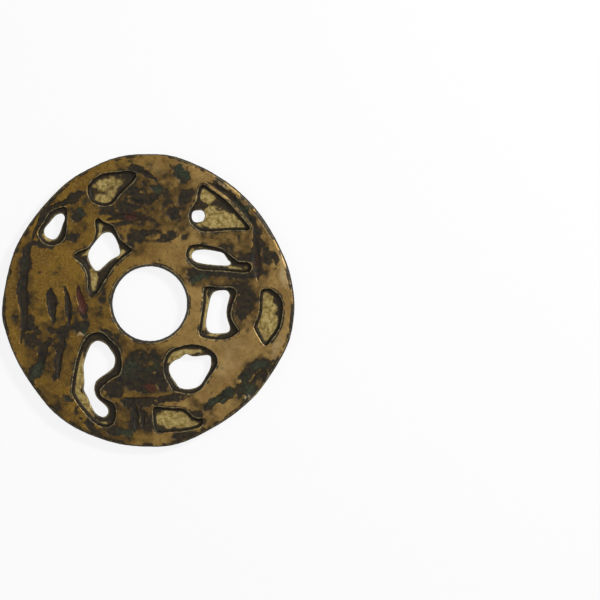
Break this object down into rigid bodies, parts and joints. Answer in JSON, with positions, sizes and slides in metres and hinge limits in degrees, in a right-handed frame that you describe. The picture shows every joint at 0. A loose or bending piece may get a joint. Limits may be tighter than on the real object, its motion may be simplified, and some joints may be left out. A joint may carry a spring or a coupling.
{
  "type": "charm coin",
  "caption": "Round cast bronze openwork charm with a centre hole for a cord and irregular pierced windows.",
  "frame": {"origin": "middle of the coin's footprint, on the reverse face that it lies on", "axes": "+Z out of the obverse face, +Y to the top of the obverse as pictured, +X to its right"},
  "size_m": [0.055, 0.055, 0.0024],
  "materials": {
    "cast_bronze": "worn cast bronze, brown to ochre, with dark green patina in the low places"
  },
  "bodies": {
    "root": {"cast_disc": "cast_bronze"}
  },
  "joints": []
}
